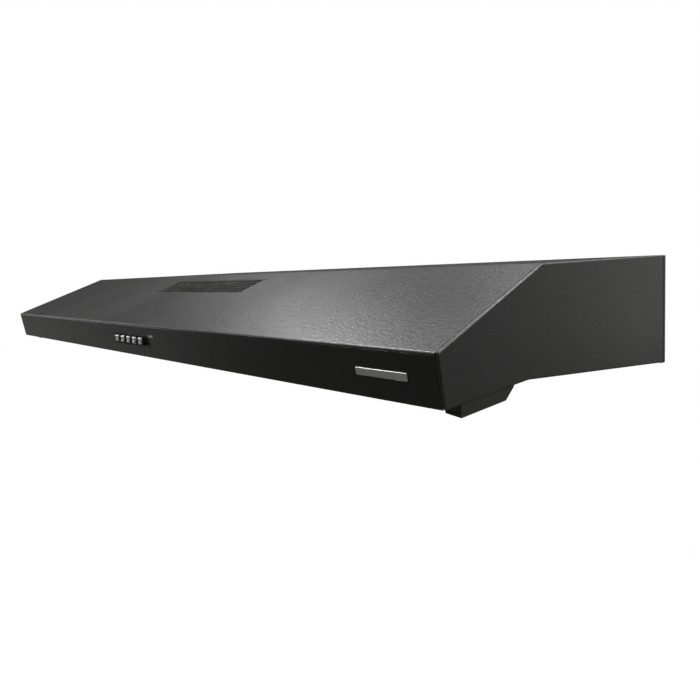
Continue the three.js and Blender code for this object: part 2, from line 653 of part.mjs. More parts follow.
// the loom runs under the top face and down to the switch block, clipped all the way
function wireLoom() {
  const route = [[365, 95.5, -12], [364, 60, -8], [356, -20, -8], [338, -110, -9], [300, -185, -22],
    [230, -235, -38], [150, -268, -52], [100, -287, -62], [64, -293, -66]];
  const curve = new THREE.CatmullRomCurve3(route.map((p) => new THREE.Vector3(...p)), false, 'centripetal');
  const section = new THREE.Shape(circle(0, 0, 3, 8).map(([a, b]) => new THREE.Vector2(a, b)));
  return new THREE.ExtrudeGeometry(section, { steps: 40, bevelEnabled: false, extrudePath: curve });
}

add('terminal_box', terminalBox(), WHITE_PLASTIC);
add('terminal_lid', terminalLid(), WHITE_PLASTIC);
add('cable_gland', cableGland(), DARK_PLASTIC);
add('wire_loom', wireLoom(), DARK_PLASTIC);

export default hood;
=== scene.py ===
import json
import math

import bmesh
import bpy
from mathutils import Matrix, Vector

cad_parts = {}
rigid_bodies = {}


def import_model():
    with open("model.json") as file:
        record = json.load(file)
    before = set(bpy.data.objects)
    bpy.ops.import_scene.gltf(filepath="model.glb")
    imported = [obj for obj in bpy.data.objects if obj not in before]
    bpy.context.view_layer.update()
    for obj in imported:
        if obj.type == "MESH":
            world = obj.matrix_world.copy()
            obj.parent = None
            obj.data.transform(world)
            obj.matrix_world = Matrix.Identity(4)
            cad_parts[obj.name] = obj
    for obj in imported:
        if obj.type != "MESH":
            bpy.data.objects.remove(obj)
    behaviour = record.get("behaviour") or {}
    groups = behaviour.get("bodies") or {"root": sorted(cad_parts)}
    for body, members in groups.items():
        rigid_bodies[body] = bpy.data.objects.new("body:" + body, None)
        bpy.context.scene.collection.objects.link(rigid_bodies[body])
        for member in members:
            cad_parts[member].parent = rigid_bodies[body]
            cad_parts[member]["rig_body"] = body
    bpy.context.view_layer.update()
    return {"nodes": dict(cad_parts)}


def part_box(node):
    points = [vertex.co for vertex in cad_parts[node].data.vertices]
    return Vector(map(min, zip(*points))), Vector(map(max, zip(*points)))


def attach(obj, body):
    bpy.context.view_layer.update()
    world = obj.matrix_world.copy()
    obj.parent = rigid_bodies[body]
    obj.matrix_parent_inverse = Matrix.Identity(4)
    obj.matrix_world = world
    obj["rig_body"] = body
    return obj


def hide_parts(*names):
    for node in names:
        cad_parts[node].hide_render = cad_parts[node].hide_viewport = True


# An under-cabinet range hood: all its visible pieces and their materials, then the room and the lights.

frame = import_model()
scene = bpy.context.scene

# ------------------------------------------------------------------ sizes, in millimetres
# X runs along the hood, +Y points to the wall, +Z up; the origin is the middle of the top face.

MM = 0.001


def node_box(node):
    """A CAD node's lowest and highest corners, in millimetres."""
    low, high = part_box(node)
    return Vector(low) / MM, Vector(high) / MM


HALF = node_box("side_panel_right")[1].x
WALL_Y = node_box("rear_panel")[1].y
FRONT_Y = node_box("side_panel_right")[0].y
BOTTOM_Z = node_box("side_panel_right")[0].z
SLOPE_DROP, FASCIA_DROP, FASCIA_SET_BACK = 53.0, 39.5, 6.5
BEND = (-WALL_Y, 0.0)
CREASE = (FRONT_Y, -SLOPE_DROP)
LIP = (FRONT_Y + FASCIA_SET_BACK, -SLOPE_DROP - FASCIA_DROP)
KNEE = (FRONT_Y + 124.5, LIP[1])
STEEL = 1.2
OUTLET_Y, OUTLET_RADIUS = 77.0, 60.0
VENT_HALF, VENT_LOW, VENT_HIGH = 110.0, 95.0, 140.0
FILTER_NAMES = ("left", "centre", "right")
SIDES = ((-1, "left"), (1, "right"))
BUTTONS = ("off", "speed_low", "speed_mid", "speed_high", "light")

# ------------------------------------------------------------------ camera

CAMERA_PLACE = (656.35, -609.36, 5.61)
CAMERA_TURN = (-46.47, -4.99, -2.72)  # yaw, pitch and roll in degrees


def make_camera():
    """The photograph's viewpoint: close to the front right corner, level with the top."""
    yaw, pitch, roll = (math.radians(a) for a in CAMERA_TURN)
    ahead = Vector((math.sin(yaw) * math.cos(pitch), math.cos(yaw) * math.cos(pitch), math.sin(pitch)))
    level = Vector((math.cos(yaw), -math.sin(yaw), 0))
    above = level.cross(ahead)
    right = level * math.cos(roll) + above * math.sin(roll)
    up = above * math.cos(roll) - level * math.sin(roll)
    data = bpy.data.cameras.new("camera")
    data.sensor_width = 36
    data.lens = 28.70
    data.shift_x = 0.0364
    data.shift_y = -0.0498
    data.clip_start = 0.01
    camera = bpy.data.objects.new("camera", data)
    axes = Matrix((right, up, -ahead)).transposed().to_4x4()
    camera.matrix_world = Matrix.Translation(Vector(CAMERA_PLACE) * MM) @ axes
    scene.collection.objects.link(camera)
    scene.camera = camera


make_camera()

# ------------------------------------------------------------------ materials

EDGE_REACH = 1.4  # how far from an edge the paint is paled, partly worn thin and partly a painted highlight
# the paler colour along painted edges: partly worn paint, partly a painted highlight
EDGE_WEAR_AND_HIGHLIGHT_COLOUR = (0.11, 0.11, 0.105)
BLACK = (0.025, 0.026, 0.0247)


class Nodes:
    """Builds the node tree of one material, or of the world."""

    def __init__(self, owner):
        self.owner = owner
        owner.use_nodes = True
        self.tree = owner.node_tree

    def add(self, kind, **settings):
        """A new node; each setting is the value of an input or else a property."""
        node = self.tree.nodes.new(kind)
        for key, value in settings.items():
            if key in node.inputs:
                node.inputs[key].default_value = value
            else:
                setattr(node, key, value)
        return node

    def link(self, source, target):
        self.tree.links.new(source, target)

    def place(self):
        """Coordinates fixed to the object."""
        return self.add("ShaderNodeTexCoord").outputs["Object"]

    def noise(self, scale, detail=2.0, rough=0.5, stretch=None):
        """Soft noise, about scale lumps to the metre, finer along the axes with a higher stretch."""
        where = self.place()
        if stretch:
            mapping = self.add("ShaderNodeMapping")
            mapping.inputs["Scale"].default_value = stretch
            self.link(where, mapping.inputs["Vector"])
            where = mapping.outputs["Vector"]
        node = self.add("ShaderNodeTexNoise", Scale=scale, Detail=detail, Roughness=rough)
        self.link(where, node.inputs["Vector"])
        return node.outputs["Fac"]

    def ramp(self, value, low, high, first, last):
        """Maps value's range low..high onto the range first..last."""
        node = self.add("ShaderNodeMapRange")
        for key, number in (("From Min", low), ("From Max", high), ("To Min", first), ("To Max", last)):
            node.inputs[key].default_value = number
        self.link(value, node.inputs["Value"])
        return node.outputs["Result"]

    def colours(self, value, *stops):
        """A colour for each value, between stops of (value, colour)."""
        node = self.add("ShaderNodeValToRGB")
        elements = node.color_ramp.elements
        while len(elements) < len(stops):
            elements.new(0.5)
        for element, (position, colour) in zip(elements, stops):
            element.position = position
            element.color = (*colour, 1)
        self.link(value, node.inputs["Fac"])
        return node.outputs["Color"]

    def bump(self, height, strength, distance, normal=None):
        """A normal roughened by a height, over another normal if one is given."""
        node = self.add("ShaderNodeBump", Strength=strength, Distance=distance)
        self.link(height, node.inputs["Height"])
        if normal:
            self.link(normal, node.inputs["Normal"])
        return node.outputs["Normal"]

    def edge_wear_and_highlight_mask(self):
        """Close to 1 along edges and 0 on flats: how far a rounded normal leans from the true one; it marks the
        paler edges, partly worn paint and partly a painted highlight.
        """
        rounded_normal = self.add("ShaderNodeBevel", samples=4)
        rounded_normal.inputs["Radius"].default_value = EDGE_REACH * MM
        lean = self.add("ShaderNodeVectorMath", operation="DOT_PRODUCT")
        self.link(rounded_normal.outputs["Normal"], lean.inputs[0])
        self.link(self.add("ShaderNodeNewGeometry").outputs["Normal"], lean.inputs[1])
        return self.ramp(lean.outputs["Value"], 0.995, 0.90, 0.0, 1.0)

    def flakes(self, scale):
        """A random value for each small cell."""
        cells = self.add("ShaderNodeTexVoronoi", Scale=scale)
        self.link(self.place(), cells.inputs["Vector"])
        split = self.add("ShaderNodeSeparateColor")
        self.link(cells.outputs["Color"], split.inputs["Color"])
        return split.outputs["Red"]

    def math(self, operation, first, second):
        """Two values added or multiplied."""
        node = self.add("ShaderNodeMath", operation=operation)
        self.link(first, node.inputs[0])
        self.link(second, node.inputs[1])
        return node.outputs["Value"]

    def mix(self, factor, first, colour):
        """The first colour where factor is 0, and the plain colour given where it is 1."""
        node = self.add("ShaderNodeMix", data_type="RGBA")  # its colour sockets are inputs 6 and 7 and output 2
        self.link(factor, node.inputs[0])
        self.link(first, node.inputs[6])
        node.inputs[7].default_value = (*colour, 1)
        return node.outputs[2]

    def set(self, **inputs):
        """Sets or links the shader's inputs and gives back the finished material."""
        for key, value in inputs.items():
            socket = self.tree.nodes["Principled BSDF"].inputs[key.replace("_", " ")]
            if isinstance(value, bpy.types.NodeSocket):
                self.link(value, socket)
            else:
                if isinstance(value, tuple) and len(value) < len(socket.default_value):
                    value = (*value, 1)
                socket.default_value = value
        return self.owner


def material_nodes(name):
    """The node tree of a new material."""
    return Nodes(bpy.data.materials.new(name))


def textured_paint(name, colour, rough, grain=1.0, specular=0.5):
    """Black powder coat: a pebbled skin with sparkling flakes, thinner and paler along its edges, where the
    paler colour is partly worn paint and partly a painted highlight.
    """
    n = material_nodes(name)
    pebbles = n.noise(330, detail=4.0, rough=0.62)
    flakes = n.flakes(900)
    drift = n.noise(5.0, detail=5.0, rough=0.55)
    patches = n.noise(70, detail=4.0, rough=0.7)
    edge = n.math("MULTIPLY", n.edge_wear_and_highlight_mask(), n.ramp(patches, 0.42, 0.66, 0.25, 1.0))
    body = n.colours(pebbles, (0.35, tuple(c * 0.93 for c in colour)), (0.68, tuple(c * 1.08 for c in colour)))
    # paler paint along the edges: partly wear, partly a painted highlight
    shade = n.mix(edge, body, EDGE_WEAR_AND_HIGHLIGHT_COLOUR)
    sparkle = n.ramp(flakes, 0.0, 1.0, rough - 0.07, rough + 0.05)
    gloss = n.math("ADD", sparkle, n.ramp(drift, 0.35, 0.65, -0.03, 0.03))
    fine = n.bump(flakes, 0.10 * grain, 0.0003)
    skin = n.bump(pebbles, 0.34 * grain, 0.0012, fine)
    return n.set(Base_Color=shade, Roughness=gloss, Normal=skin, Specular_IOR_Level=specular)


def smooth_paint(name, colour, rough):
    """Smooth enamel with a slight orange peel and faint wipe marks."""
    n = material_nodes(name)
    peel = n.noise(140, detail=1.0)
    wipes = n.noise(9, detail=5.0, rough=0.65, stretch=(0.35, 1.0, 1.6))
    gloss = n.ramp(wipes, 0.3, 0.7, rough - 0.04, rough + 0.06)
    return n.set(Base_Color=colour, Roughness=gloss, Normal=n.bump(peel, 0.05, 0.0005))


def plastic(name, colour, rough, grain=900.0, depth=0.12):
    """Moulded plastic with a fine leather grain and slightly uneven gloss."""
    n = material_nodes(name)
    leather = n.noise(grain)
    mottle = n.noise(24, detail=4.0)
    shade = n.colours(mottle, (0.3, tuple(c * 0.9 for c in colour)), (0.7, tuple(c * 1.08 for c in colour)))
    gloss = n.ramp(mottle, 0.3, 0.7, rough - 0.05, rough + 0.05)
    return n.set(Base_Color=shade, Roughness=gloss, Normal=n.bump(leather, depth, 0.0004))


def brushed(name, colour, rough, stretch=(0.06, 1.0, 1.0), depth=0.1):
    """Metal with fine parallel lines along one axis."""
    n = material_nodes(name)
    lines = n.noise(1600, detail=3.0, rough=0.7, stretch=stretch)
    clouds = n.noise(14, detail=4.0)
    shade = n.colours(lines, (0.3, tuple(c * 0.86 for c in colour)), (0.7, colour))
    gloss = n.ramp(clouds, 0.3, 0.7, rough - 0.05, rough + 0.08)
    return n.set(Base_Color=shade, Metallic=1.0, Roughness=gloss, Normal=n.bump(lines, depth, 0.0003))


def galvanised(name):
    """Zinc-coated sheet with its crystal spangle."""
    n = material_nodes(name)
    spangle = n.flakes(110)
    shade = n.colours(spangle, (0.0, (0.36, 0.37, 0.385)), (1.0, (0.52, 0.53, 0.54)))
    gloss = n.ramp(spangle, 0.0, 1.0, 0.34, 0.52)
    return n.set(Base_Color=shade, Metallic=1.0, Roughness=gloss, Normal=n.bump(n.noise(300), 0.05, 0.0004))


def chrome(name):
    """Bright plating with faint handling haze."""
    n = material_nodes(name)
    haze = n.noise(220, detail=4.0)
    return n.set(Base_Color=(0.66, 0.68, 0.67), Metallic=1.0, Roughness=n.ramp(haze, 0.35, 0.7, 0.3, 0.42),
                 Normal=n.bump(haze, 0.02, 0.0003))


def frosted(name):
    """Translucent lamp cover with fine prismatic ribs."""
    n = material_nodes(name)
    ribs = n.add("ShaderNodeTexWave", Scale=180.0, bands_direction="X")
    n.link(n.place(), ribs.inputs["Vector"])
    haze = n.noise(60, detail=3.0)
    shade = n.colours(haze, (0.3, (0.80, 0.81, 0.79)), (0.7, (0.90, 0.91, 0.89)))
    return n.set(Base_Color=shade, Roughness=n.ramp(haze, 0.3, 0.7, 0.28, 0.42), Transmission_Weight=0.35,
                 IOR=1.49, Normal=n.bump(ribs.outputs["Fac"], 0.35, 0.0006))


def opal_glass(name):
    """Milky glass that lets a little light through."""
    n = material_nodes(name)
    haze = n.noise(40)
    shade = n.colours(haze, (0.3, (0.90, 0.90, 0.87)), (0.7, (0.95, 0.95, 0.93)))
    return n.set(Base_Color=shade, Roughness=n.ramp(haze, 0.3, 0.7, 0.12, 0.2), Subsurface_Weight=0.4,
                 Subsurface_Radius=(0.006, 0.006, 0.005), Transmission_Weight=0.1)


def packed_mesh(name):
    """The dense inner layers of a grease filter: crumpled strands seen through each other, pale strands with
    painted shade in the openings between them.
    """
    n = material_nodes(name)
    cells = n.add("ShaderNodeTexVoronoi", Scale=260.0, feature="DISTANCE_TO_EDGE")
    mapping = n.add("ShaderNodeMapping")
    mapping.inputs["Scale"].default_value = (0.55, 1.0, 1.0)
    n.link(n.place(), mapping.inputs["Vector"])
    n.link(mapping.outputs["Vector"], cells.inputs["Vector"])
    # pale strands, with the openings between them painted dark: a painted shade for the depth seen through them
    strand = n.ramp(cells.outputs["Distance"], 0.02, 0.12, 1.0, 0.0)
    shade = n.colours(strand, (0.0, (0.10, 0.10, 0.105)), (1.0, (0.55, 0.56, 0.57)))
    return n.set(Base_Color=shade, Metallic=0.9, Roughness=0.42, Normal=n.bump(strand, 0.8, 0.0015))


PAINT = textured_paint("textured_black", BLACK, 0.4)
SIDE_PAINT = textured_paint("side_black", BLACK, 0.43, grain=0.3)
VENT_PAINT = textured_paint("vent_black", (0.012, 0.012, 0.0117), 0.5, grain=0.5, specular=0.36)
FASCIA_PAINT = smooth_paint("fascia_black", (0.012, 0.012, 0.0115), 0.24)
ZINC = galvanised("galvanised_sheet")
DARK = plastic("black_moulding", (0.018, 0.018, 0.018), 0.48)
CHROME = chrome("chrome_plating")
BADGE = brushed("satin_badge", (0.72, 0.73, 0.73), 0.3)
WHITE = plastic("white_moulding", (0.66, 0.66, 0.62), 0.5)
GREY = plastic("grey_moulding", (0.10, 0.105, 0.11), 0.55)
FAN = plastic("fan_moulding", (0.60, 0.60, 0.56), 0.5)
FROSTED = frosted("frosted_cover")
OPAL = opal_glass("opal_glass")
RIM_METAL = brushed("rolled_aluminium", (0.66, 0.67, 0.68), 0.34, stretch=(1.0, 0.06, 1.0))
STRAND_METAL = brushed("expanded_aluminium", (0.60, 0.61, 0.62), 0.36)
PACK = packed_mesh("packed_mesh")
SCREW_METAL = brushed("screw_steel", (0.55, 0.55, 0.54), 0.32)
RUBBER = plastic("loom_sleeve", (0.014, 0.014, 0.014), 0.62, grain=400.0, depth=0.3)

# ------------------------------------------------------------------ mesh helpers


def finish_piece(obj, body, material, replaces=(), angle=32):
    """Gives a piece its material (None keeps those of its parts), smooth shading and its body."""
    if material:
        obj.data.materials.clear()
        obj.data.materials.append(material)
    for polygon in obj.data.polygons:
        polygon.use_smooth = True
    obj.data.set_sharp_from_angle(angle=math.radians(angle))
    normals = obj.modifiers.new("normals", "WEIGHTED_NORMAL")
    normals.keep_sharp = True
    normals.weight = 100
    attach(obj, body)
    if replaces:
        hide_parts(*replaces)


def ring_faces(rows, width, cap=True, loop=False):
    """Faces between stacked rings of width points each: capped, open, or with the last joined to the first."""
    faces = []
    for row in range(rows if loop else rows - 1):
        first, second = row * width, (row + 1) % rows * width
        for k in range(width):
            nxt = (k + 1) % width
            faces.append((first + k, first + nxt, second + nxt, second + k))
    if cap:
        faces += [tuple(range(width)), tuple(range((rows - 1) * width, rows * width))]
    return faces


def raw_object(name, verts, faces, matrix=None):
    """An object from points in millimetres, with its faces turned outwards."""
    mesh = bpy.data.meshes.new(name)
    mesh.from_pydata([Vector(v) * MM for v in verts], [], faces)
    bm = bmesh.new()
    bm.from_mesh(mesh)
    bmesh.ops.recalc_face_normals(bm, faces=bm.faces)
    bm.to_mesh(mesh)
    bm.free()
    if matrix:
        mesh.transform(matrix)
    obj = bpy.data.objects.new(name, mesh)
    scene.collection.objects.link(obj)
    return obj


def apply_modifiers(obj):
    """Puts the object's modifiers into its mesh."""
    graph = bpy.context.evaluated_depsgraph_get()
    graph.update()
    mesh = bpy.data.meshes.new_from_object(obj.evaluated_get(graph))
    obj.modifiers.clear()
    obj.data = mesh
    return obj


def cut(obj, *tools):
    """Cuts the tools out of obj and removes them."""
    for tool in tools:
        boolean = obj.modifiers.new("cut", "BOOLEAN")
        boolean.operation = "DIFFERENCE"
        boolean.solver = "EXACT"
        boolean.object = tool
    apply_modifiers(obj)
    for tool in tools:
        bpy.data.objects.remove(tool)
    return obj


def bevel(obj, width, segments=2, angle=35):
    """Rounds the edges that are sharper than angle."""
    modifier = obj.modifiers.new("bevel", "BEVEL")
    modifier.width = width * MM
    modifier.segments = segments
    modifier.limit_method = "ANGLE"
    modifier.angle_limit = math.radians(angle)
    modifier.use_clamp_overlap = True
    return apply_modifiers(obj)


def rounded(path, radii, steps=5, closed=False):
    """A path with its corners turned into arcs; radii holds one radius for each point, 0 for sharp."""
    result = []
    count = len(path)
    for i, point in enumerate(path):
        radius = radii[i]
        if radius == 0 or (not closed and i in (0, count - 1)):
            result.append(point)
            continue
        here = Vector(point)
        back = (Vector(path[i - 1]) - here).normalized()
        ahead = (Vector(path[(i + 1) % count]) - here).normalized()
        half = back.angle(ahead) / 2
        middle = here + (back + ahead).normalized() * (radius / math.sin(half))
        start = here + back * (radius / math.tan(half)) - middle
        end = here + ahead * (radius / math.tan(half)) - middle
        sweep = start.angle_signed(end)
        for k in range(steps + 1):
            spoke = start.copy()
            spoke.rotate(Matrix.Rotation(-sweep * k / steps, 2))
            result.append(tuple(middle + spoke))
    return result


def offset(path, distance, closed=False):
    """The path moved sideways, to its left for a positive distance, with mitred corners."""
    count = len(path)
    result = []
    for i in range(count):
        steps = []
        if closed or i > 0:
            steps.append((Vector(path[i]) - Vector(path[i - 1])).normalized())
        if closed or i < count - 1:
            steps.append((Vector(path[(i + 1) % count]) - Vector(path[i])).normalized())
        first, last = steps[0], steps[-1]
        reach = distance / (1 + first.dot(last))
        total = first + last
        result.append((path[i][0] - total.y * reach, path[i][1] + total.x * reach))
    return result


def prism_x(name, outline, x0, x1):
    """A bar along X with an outline in (y, z)."""
    verts = [(x, y, z) for x in (x0, x1) for y, z in outline]
    return raw_object(name, verts, ring_faces(2, len(outline)))


def bent_sheet(name, path, thick, half):
    """Folded sheet along X: path is one face, and the metal lies to its left."""
    return prism_x(name, [*path, *reversed(offset(path, thick))], -half, half)


def block(name, low, high, matrix=None):
    """A box between two corners, as a tool or a part that is bevelled or joined later."""
    (x0, y0, z0), (x1, y1, z1) = low, high
    verts = [(x, y, z) for x in (x0, x1) for y in (y0, y1) for z in (z0, z1)]
    faces = [(0, 1, 3, 2), (4, 6, 7, 5), (0, 4, 5, 1), (2, 3, 7, 6), (0, 2, 6, 4), (1, 5, 7, 3)]
    return raw_object(name, verts, faces, matrix)


def turned(name, profile, segments, matrix=None, cap=True):
    """A solid of revolution about Z from a profile of (radius, z), either an open one with caps or a loop."""
    verts = []
    for radius, z in profile:
        for k in range(segments):
            angle = 2 * math.pi * k / segments
            verts.append((radius * math.cos(angle), radius * math.sin(angle), z))
    return raw_object(name, verts, ring_faces(len(profile), segments, cap, not cap), matrix)


def at(x, y, z):
    """The matrix that moves a part to a place in millimetres."""
    return Matrix.Translation(Vector((x, y, z)) * MM)


def joined(name, objects):
    """One object from several; the parts keep their own materials."""
    merged = bmesh.new()
    materials = []
    for obj in objects:
        start = len(merged.faces)
        merged.from_mesh(obj.data)
        merged.faces.ensure_lookup_table()
        material = obj.data.materials[0] if obj.data.materials else None
        if material not in materials:
            materials.append(material)
        for face in merged.faces[start:]:
            face.material_index = materials.index(material)
    mesh = bpy.data.meshes.new(name)
    merged.to_mesh(mesh)
    merged.free()
    for material in materials:
        if material:
            mesh.materials.append(material)
    for obj in objects:
        bpy.data.objects.remove(obj)
    result = bpy.data.objects.new(name, mesh)
    scene.collection.objects.link(result)
    return result


def clean_copy(node, name, width=0.4, segments=2, angle=35):
    """A copy of a CAD node with clean faces and, where width isn't 0, rounded edges."""
    mesh = frame["nodes"][node].data.copy()
    bm = bmesh.new()
    bm.from_mesh(mesh)
    bmesh.ops.remove_doubles(bm, verts=bm.verts, dist=1e-6)
    bmesh.ops.dissolve_limit(bm, angle_limit=math.radians(1), verts=bm.verts, edges=bm.edges)
    bmesh.ops.recalc_face_normals(bm, faces=bm.faces)
    bm.to_mesh(mesh)
    bm.free()
    mesh.materials.clear()
    obj = bpy.data.objects.new(name, mesh)
    scene.collection.objects.link(obj)
    return bevel(obj, width, segments, angle) if width else obj


def refined(node, name, material, width=0.4, segments=2, angle=35, smooth=32):
    """A cleaned copy of a CAD node, shown in its place."""
    body = frame["nodes"][node]["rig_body"]
    finish_piece(clean_copy(node, name, width, segments, angle), body, material, (node,), smooth)


def panel_matrix(low, high):
    """Local x along the hood, y up the panel from the crease, z out of it."""
    up = Vector((0, high[0] - low[0], high[1] - low[1])).normalized()
    across = Vector((1, 0, 0))
    out = across.cross(up)
    axes = Matrix((across, up, out)).transposed().to_4x4()
    return at(0, *CREASE) @ axes


SLOPE = panel_matrix(CREASE, BEND)
FASCIA = panel_matrix(LIP, CREASE)

# ------------------------------------------------------------------ screws

HEAD_HEIGHT, CROSS_DEPTH = 1.6, 0.9
SEAT_DEPTH = 1.7  # of the pressed seats that the canopy's and the back's screws sit in


def screw_template():
    """A pan head with a cross recess and its seat at z = 0."""
    head = turned("screw", [(3.6, 0.0), (3.55, 0.5), (3.1, 1.15), (2.2, 1.45), (0.4, HEAD_HEIGHT)], 20)
    slots = [block("slot", (-x, -y, HEAD_HEIGHT - CROSS_DEPTH), (x, y, 3))
             for x, y in ((2.0, 0.4), (0.4, 2.0))]
    return cut(head, *slots)


SCREW = screw_template()
FACING = {
    "up": Matrix.Identity(4),
    "back": Matrix.Rotation(-math.pi / 2, 4, "X"),
    "down": Matrix.Rotation(math.pi, 4, "X"),
}


def screws(name, facing, places):
    """One piece made of screw heads at the places given, in millimetres."""
    heads = []
    for index, place in enumerate(places):
        head = SCREW.copy()
        head.data = SCREW.data.copy()
        twist = Matrix.Rotation(0.7 * index, 4, "Z")
        head.data.transform(at(*place) @ FACING[facing] @ twist)
        scene.collection.objects.link(head)
        heads.append(head)
    finish_piece(joined(name, heads), "root", SCREW_METAL)


def dimple(place, facing):
    """A tool for a sunken screw seat with sloping sides."""
    return turned("seat", [(3.9, -SEAT_DEPTH), (5.2, 0), (5.2, 6)], 20, at(*place) @ FACING[facing])


def dish(place, facing):
    """The pressed cup under a screw head, which closes the hole that a dimple cuts in thin sheet."""
    return turned("cup", [(4.6, -SEAT_DEPTH - 0.6), (6.0, -0.5), (5.2, -0.12), (3.9, -SEAT_DEPTH)], 20,
                  at(*place) @ FACING[facing])


# ------------------------------------------------------------------ canopy

BEND_RADIUS = 6.0  # of the bend between the top and the slope
FOLD_RADIUS = 2.0  # of the fold above the fascia
FOLD_REACH = 1.75  # how far the top sheet turns down over the fascia
TOP_EDGE = HALF - 3.3  # the top sheet stops short of the side panels' rolled edges
BLOWER_X, BLOWER_Y = 190.0, 40.0
SCREW_CIRCLE, SCREW_ANGLE = 64.0, 0.7  # of the screws round the outlet
BLOWER_SCREW_X, BLOWER_SCREW_Y = 62.0, 55.0  # of the screws that hold a blower, from its middle
TOP_SCREWS = [(side * SCREW_CIRCLE * math.cos(SCREW_ANGLE),
               OUTLET_Y + up * SCREW_CIRCLE * math.sin(SCREW_ANGLE), 0)
              for side in (-1, 1) for up in (-1, 1)]
TOP_SCREWS += [(side * BLOWER_X + dx, BLOWER_Y + dy, 0)
               for side in (-1, 1) for dx in (-BLOWER_SCREW_X, BLOWER_SCREW_X)
               for dy in (-BLOWER_SCREW_Y, BLOWER_SCREW_Y)]


def canopy():
    """The top sheet: flat top, slope and fold, with openings for outlet and vent, and screw seats."""
    fall = (Vector(LIP) - Vector(CREASE)).normalized() * FOLD_REACH
    path = rounded([(WALL_Y, 0), BEND, CREASE, tuple(Vector(CREASE) + fall)],
                   [0, BEND_RADIUS, FOLD_RADIUS, 0], 7)
    sheet = bent_sheet("canopy", path, STEEL, TOP_EDGE)
    outlet = turned("outlet_tool", [(OUTLET_RADIUS, -10), (OUTLET_RADIUS, 10)], 96, at(0, OUTLET_Y, 0))
    vent = block("vent_tool", (-VENT_HALF, VENT_LOW, -8), (VENT_HALF, VENT_HIGH, 8), SLOPE)
    cut(sheet, outlet, vent, *(dimple(place, "up") for place in TOP_SCREWS))
    bevel(sheet, 0.3, 2, 50)
    cups = [dish(place, "up") for place in TOP_SCREWS]
    finish_piece(joined("canopy", [sheet, *cups]), "root", PAINT, ("top_shell",), 40)


LAP_WIDTH, LAP_RISE = 6.0, 0.45  # of the rear fold's lap on the side panel
ROLL = 2.0  # radius of the side panels' rolled edges
LEDGE_WIDTH, LEDGE_TOP, LEDGE_FOOT = 14.0, 1.6, 2.7


def side_panel(side, word):
    """A dished panel with edges rolled towards the top sheet, a ledge under it and the rear fold's lap."""
    outline = [CREASE, LIP, KNEE, (WALL_Y, BOTTOM_Z), (WALL_Y, 0), BEND]
    loop = rounded(outline, [2.5, 3, 14, 1.5, 1.5, BEND_RADIUS], closed=True)
    face = HALF - LAP_RISE
    arc = [(face - ROLL + ROLL * math.sin(a), ROLL - ROLL * math.cos(a))
           for a in (math.radians(d) for d in (0, 18, 36, 54, 72, 90))]
    profile = [(face - STEEL, 4.5), (face - STEEL - 1.0, 1.2), (face - 2.1, 1.2), (face - 2.1, 0.0), *arc]
    verts = [(side * x, y, z) for x, inset in profile for y, z in offset(loop, inset, closed=True)]
    panel = raw_object(f"side_skin_{word}", verts, ring_faces(len(profile), len(loop)))
    xs = sorted((side * (face - 0.3), side * HALF))
    lap = block("lap", (xs[0], WALL_Y - LAP_WIDTH, BOTTOM_Z + 0.6), (xs[1], WALL_Y - 0.1, -0.4))
    bevel(lap, 0.35, 2)
    rise = (Vector(BEND) - Vector(CREASE)).normalized() * 6
    run = rounded([(WALL_Y - 4, 0), BEND, tuple(Vector(CREASE) + rise)], [0, BEND_RADIUS, 0])
    ledge = prism_x("ledge", [*offset(run, LEDGE_TOP), *reversed(offset(run, LEDGE_FOOT))],
                    *sorted((side * (HALF - LEDGE_WIDTH), side * (face - STEEL + 0.3))))
    finish_piece(joined(f"side_skin_{word}", [panel, lap, ledge]), "root", SIDE_PAINT,
                 (f"side_panel_{word}",), 28)


INDICATOR_X, INDICATOR_DOWN, INDICATOR_HALF, INDICATOR_RADIUS = 49.0, 13.5, 6.0, 1.3


def pill(name, grow, low, high):
    """A round-ended bar across the fascia where the indicator shows."""
    radius = INDICATOR_RADIUS + grow
    reach = INDICATOR_HALF - INDICATOR_RADIUS
    outline = []
    for side in (1, -1):
        for k in range(9):
            angle = (k / 8 - 0.5) * math.pi + (0 if side > 0 else math.pi)
            outline.append((INDICATOR_X + side * reach + radius * math.cos(angle),
                            -INDICATOR_DOWN + radius * math.sin(angle)))
    verts = [(x, y, z) for z in (low, high) for x, y in outline]
    return raw_object(name, verts, ring_faces(2, len(outline)), FASCIA)


BEZEL_LEFT, BEZEL_RIGHT, BEZEL_TOP, BEZEL_FOOT = -50.6, 45.0, 13.4, 26.6
GAP = 0.3  # between a piece and the opening that it sits in


def fascia_bar():
    """The fascia, tucked under the top sheet above and folded inwards below, with its openings."""
    slope = (Vector(BEND) - Vector(CREASE)).normalized()
    fall = (Vector(LIP) - Vector(CREASE)).normalized()
    corner = Vector(CREASE) + fall * (FOLD_REACH + GAP)
    tail = corner + slope * 13 + Vector((0.2, -0.6))
    path = rounded([tuple(tail), tuple(corner), LIP, (-293, LIP[1])], [0, 0.8, 1.0, 0])
    sheet = bent_sheet("fascia_bar", path, 1.6, HALF - 3.0)
    window = block("window_tool", (BEZEL_LEFT - GAP, -BEZEL_FOOT - GAP, -8),
                   (BEZEL_RIGHT + GAP, -BEZEL_TOP + GAP, 8), FASCIA)
    cut(sheet, window, pill("pill_tool", GAP, -8, 8))
    bevel(sheet, 0.3, 2, 50)
    finish_piece(sheet, "root", FASCIA_PAINT, ("fascia",))


canopy()
for side, word in SIDES:
    side_panel(side, word)
fascia_bar()
screws("top_screws", "up", [(x, y, z - SEAT_DEPTH) for x, y, z in TOP_SCREWS])

# ------------------------------------------------------------------ vent

HOLE_PITCH, HOLE_STEP, HOLE_RADIUS = 6.4, 5.5, 2.3  # along the hood, up the slope
COLLAR_RISE, COLLAR_WIDTH = 0.55, 0.3
PLATE_TOP, PLATE_UNDERSIDE = -1.1, -1.9


